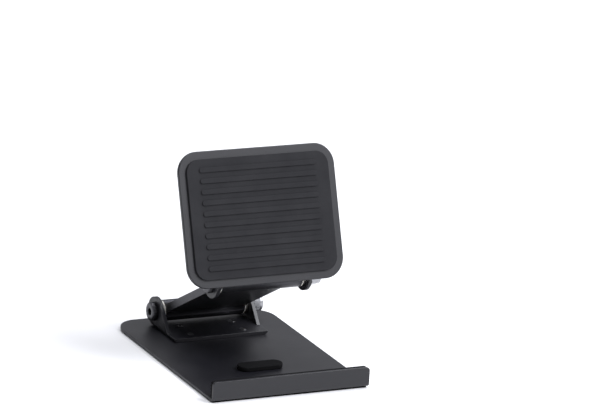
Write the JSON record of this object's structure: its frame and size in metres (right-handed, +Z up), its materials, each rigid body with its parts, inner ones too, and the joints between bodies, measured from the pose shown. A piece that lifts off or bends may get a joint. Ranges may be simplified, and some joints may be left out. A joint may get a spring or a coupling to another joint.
{
  "type": "tablet stand",
  "caption": "Small folding tablet stand: flat base with a low upturned front lip, and a ribbed backrest carried on an arm between friction hinges.",
  "frame": {"origin": "on the table under the middle of the base", "axes": "+X across the stand to the right as the user sees it, +Y from the lip to the rear, +Z up"},
  "size_m": [0.064, 0.084, 0.0808],
  "materials": {
    "coated_steel": "satin black powder coat",
    "anodised_aluminium": "black anodised, fine brushed",
    "black_rubber": "matt",
    "silicone": "matt, fine ribs",
    "black_steel": "black oxide",
    "zinc_steel": "zinc plated",
    "spring_steel": "ground",
    "nylon": "natural"
  },
  "bodies": {
    "base": {"base_plate": "coated_steel", "base_sole": "black_rubber", "lip_pad": "black_rubber", "fold_bumper": "black_rubber", "base_bracket": "coated_steel", "base_screws": "zinc_steel", "lower_hinge_bolt": "black_steel", "lower_disc_springs": "spring_steel", "lower_washer": "zinc_steel", "lower_lock_nut": "zinc_steel", "lower_nut_insert": "nylon"},
    "arm": {"arm": "anodised_aluminium", "lower_bushes": "nylon", "upper_bushes": "nylon"},
    "backrest": {"backrest_plate": "coated_steel", "backrest_pad": "silicone", "backrest_bracket": "coated_steel", "backrest_screws": "zinc_steel", "upper_hinge_bolt": "black_steel", "upper_disc_springs": "spring_steel", "upper_washer": "zinc_steel", "upper_lock_nut": "zinc_steel", "upper_nut_insert": "nylon"}
  },
  "joints": [
    {"name": "arm_hinge", "type": "hinge", "parent": "base", "child": "arm", "pos_m": [0, 0.033, 0.0077], "axis": [1, 0, 0], "range_deg": [-50, 31.3]},
    {"name": "backrest_hinge", "type": "hinge", "parent": "arm", "child": "backrest", "pos_m": [0, -0.00931, 0.03351], "axis": [1, 0, 0], "range_deg": [-98.7, 15]}
  ]
}
